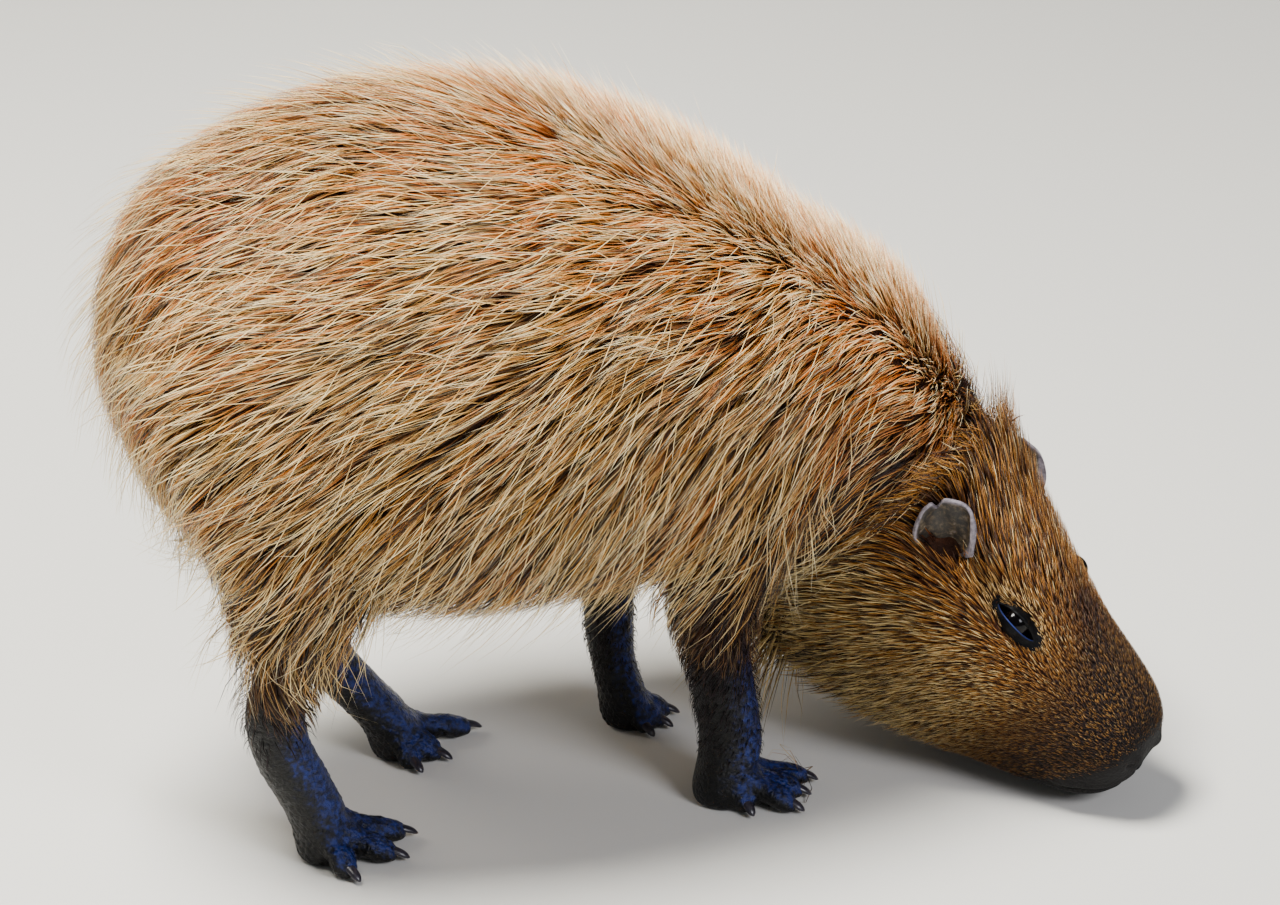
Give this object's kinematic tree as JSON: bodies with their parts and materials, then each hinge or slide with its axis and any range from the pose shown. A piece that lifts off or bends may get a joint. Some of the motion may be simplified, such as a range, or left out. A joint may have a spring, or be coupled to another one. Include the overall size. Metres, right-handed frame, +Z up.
{
  "type": "grazing capybara museum model",
  "caption": "Life-size still capybara standing with its head lowered to graze and turned to its right; deep barrel body, blunt muzzle, small cupped ears, webbed clawed feet.",
  "frame": {"origin": "middle of the bounding box's footprint, on the floor under the soles", "axes": "+X along the trunk towards the head, +Y to the animal's left, +Z up"},
  "size_m": [0.831, 0.4052, 0.6151],
  "materials": {
    "coat": "long coarse straw and orange-brown fur",
    "head_coat": "short red-brown fur, dark on the muzzle",
    "leg": "short dark fur above bare wet black skin",
    "ear": "thin bare grey-brown skin with fine hair",
    "eye": "wet dark brown",
    "claw": "dull dark horn"
  },
  "bodies": {
    "root": {"claw_fore_left_1": "claw", "claw_fore_left_2": "claw", "claw_fore_left_3": "claw", "claw_fore_left_4": "claw", "claw_fore_right_1": "claw", "claw_fore_right_2": "claw", "claw_fore_right_3": "claw", "claw_fore_right_4": "claw", "claw_hind_left_1": "claw", "claw_hind_left_2": "claw", "claw_hind_left_3": "claw", "claw_hind_right_1": "claw", "claw_hind_right_2": "claw", "claw_hind_right_3": "claw", "ear_left": "ear", "ear_right": "ear", "eye_left": "eye", "eye_right": "eye", "head": "head_coat", "leg_fore_left": "leg", "leg_fore_right": "leg", "leg_hind_left": "leg", "leg_hind_right": "leg", "neck": "coat", "torso": "coat"}
  },
  "joints": []
}
